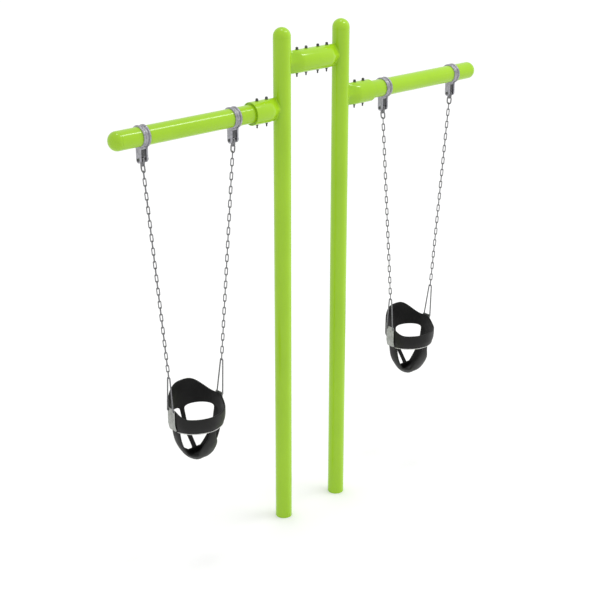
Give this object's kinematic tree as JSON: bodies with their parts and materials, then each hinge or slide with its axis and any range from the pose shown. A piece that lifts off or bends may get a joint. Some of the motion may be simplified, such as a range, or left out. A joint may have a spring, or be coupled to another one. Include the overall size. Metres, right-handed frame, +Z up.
{
  "type": "swing set",
  "caption": "Twin-post cantilever playground swing set with bolted arms, clamp-on hangers, chains and full bucket seats for toddlers.",
  "frame": {"origin": "on the ground, midway between the axes of the two posts", "axes": "+X along the arms towards the right-hand seat, -Y the way the seats face, +Z up along the posts"},
  "size_m": [2.4806, 0.2639, 2.6963],
  "materials": {
    "powder_coat": "glossy lime green powder coat on steel tube",
    "zinc": "galvanised steel, satin, slightly mottled",
    "bolt_steel": "dark plated steel",
    "rubber": "moulded black rubber, fine matte grain"
  },
  "bodies": {
    "frame": {"post_left": "powder_coat", "post_cap_left": "powder_coat", "arm_socket_left": "powder_coat", "cross_socket_left": "powder_coat", "arm_left": "powder_coat", "arm_cap_left": "powder_coat", "post_right": "powder_coat", "post_cap_right": "powder_coat", "arm_socket_right": "powder_coat", "cross_socket_right": "powder_coat", "arm_right": "powder_coat", "arm_cap_right": "powder_coat", "cross_tube": "powder_coat", "arm_left_1_bolt": "bolt_steel", "arm_left_1_nut": "bolt_steel", "arm_left_2_bolt": "bolt_steel", "arm_left_2_nut": "bolt_steel", "cross_left_1_bolt": "bolt_steel", "cross_left_1_nut": "bolt_steel", "cross_left_2_bolt": "bolt_steel", "cross_left_2_nut": "bolt_steel", "arm_right_1_bolt": "bolt_steel", "arm_right_1_nut": "bolt_steel", "arm_right_2_bolt": "bolt_steel", "arm_right_2_nut": "bolt_steel", "cross_right_1_bolt": "bolt_steel", "cross_right_1_nut": "bolt_steel", "cross_right_2_bolt": "bolt_steel", "cross_right_2_nut": "bolt_steel", "clamp_left_outer": "zinc", "pivot_bolt_left_outer": "zinc", "clamp_left_inner": "zinc", "pivot_bolt_left_inner": "zinc", "clamp_right_outer": "zinc", "pivot_bolt_right_outer": "zinc", "clamp_right_inner": "zinc", "pivot_bolt_right_inner": "zinc"},
    "swing_left": {"swivel_left_outer": "zinc", "top_link_left_outer": "zinc", "chain_left_outer": "zinc", "swivel_left_inner": "zinc", "top_link_left_inner": "zinc", "chain_left_inner": "zinc"},
    "seat_left": {"bucket_seat_left": "rubber", "side_plate_left_outer": "zinc", "seat_rod_left_outer": "zinc", "side_plate_left_inner": "zinc", "seat_rod_left_inner": "zinc"},
    "swing_right": {"swivel_right_outer": "zinc", "top_link_right_outer": "zinc", "chain_right_outer": "zinc", "swivel_right_inner": "zinc", "top_link_right_inner": "zinc", "chain_right_inner": "zinc"},
    "seat_right": {"bucket_seat_right": "rubber", "side_plate_right_outer": "zinc", "seat_rod_right_outer": "zinc", "side_plate_right_inner": "zinc", "seat_rod_right_inner": "zinc"}
  },
  "joints": [
    {"name": "swing_left_hinge", "type": "hinge", "parent": "frame", "child": "swing_left", "pos_m": [-0.793, 0, 2.192], "axis": [1, 0, 0], "range_deg": [-60, 60]},
    {"name": "seat_tilt_left", "type": "hinge", "parent": "swing_left", "child": "seat_left", "pos_m": [-0.793, 0, 1.071], "axis": [1, 0, 0], "range_deg": [-20, 20]},
    {"name": "swing_right_hinge", "type": "hinge", "parent": "frame", "child": "swing_right", "pos_m": [0.793, 0, 2.192], "axis": [1, 0, 0], "range_deg": [-60, 60]},
    {"name": "seat_tilt_right", "type": "hinge", "parent": "swing_right", "child": "seat_right", "pos_m": [0.793, 0, 1.071], "axis": [1, 0, 0], "range_deg": [-20, 20]}
  ]
}
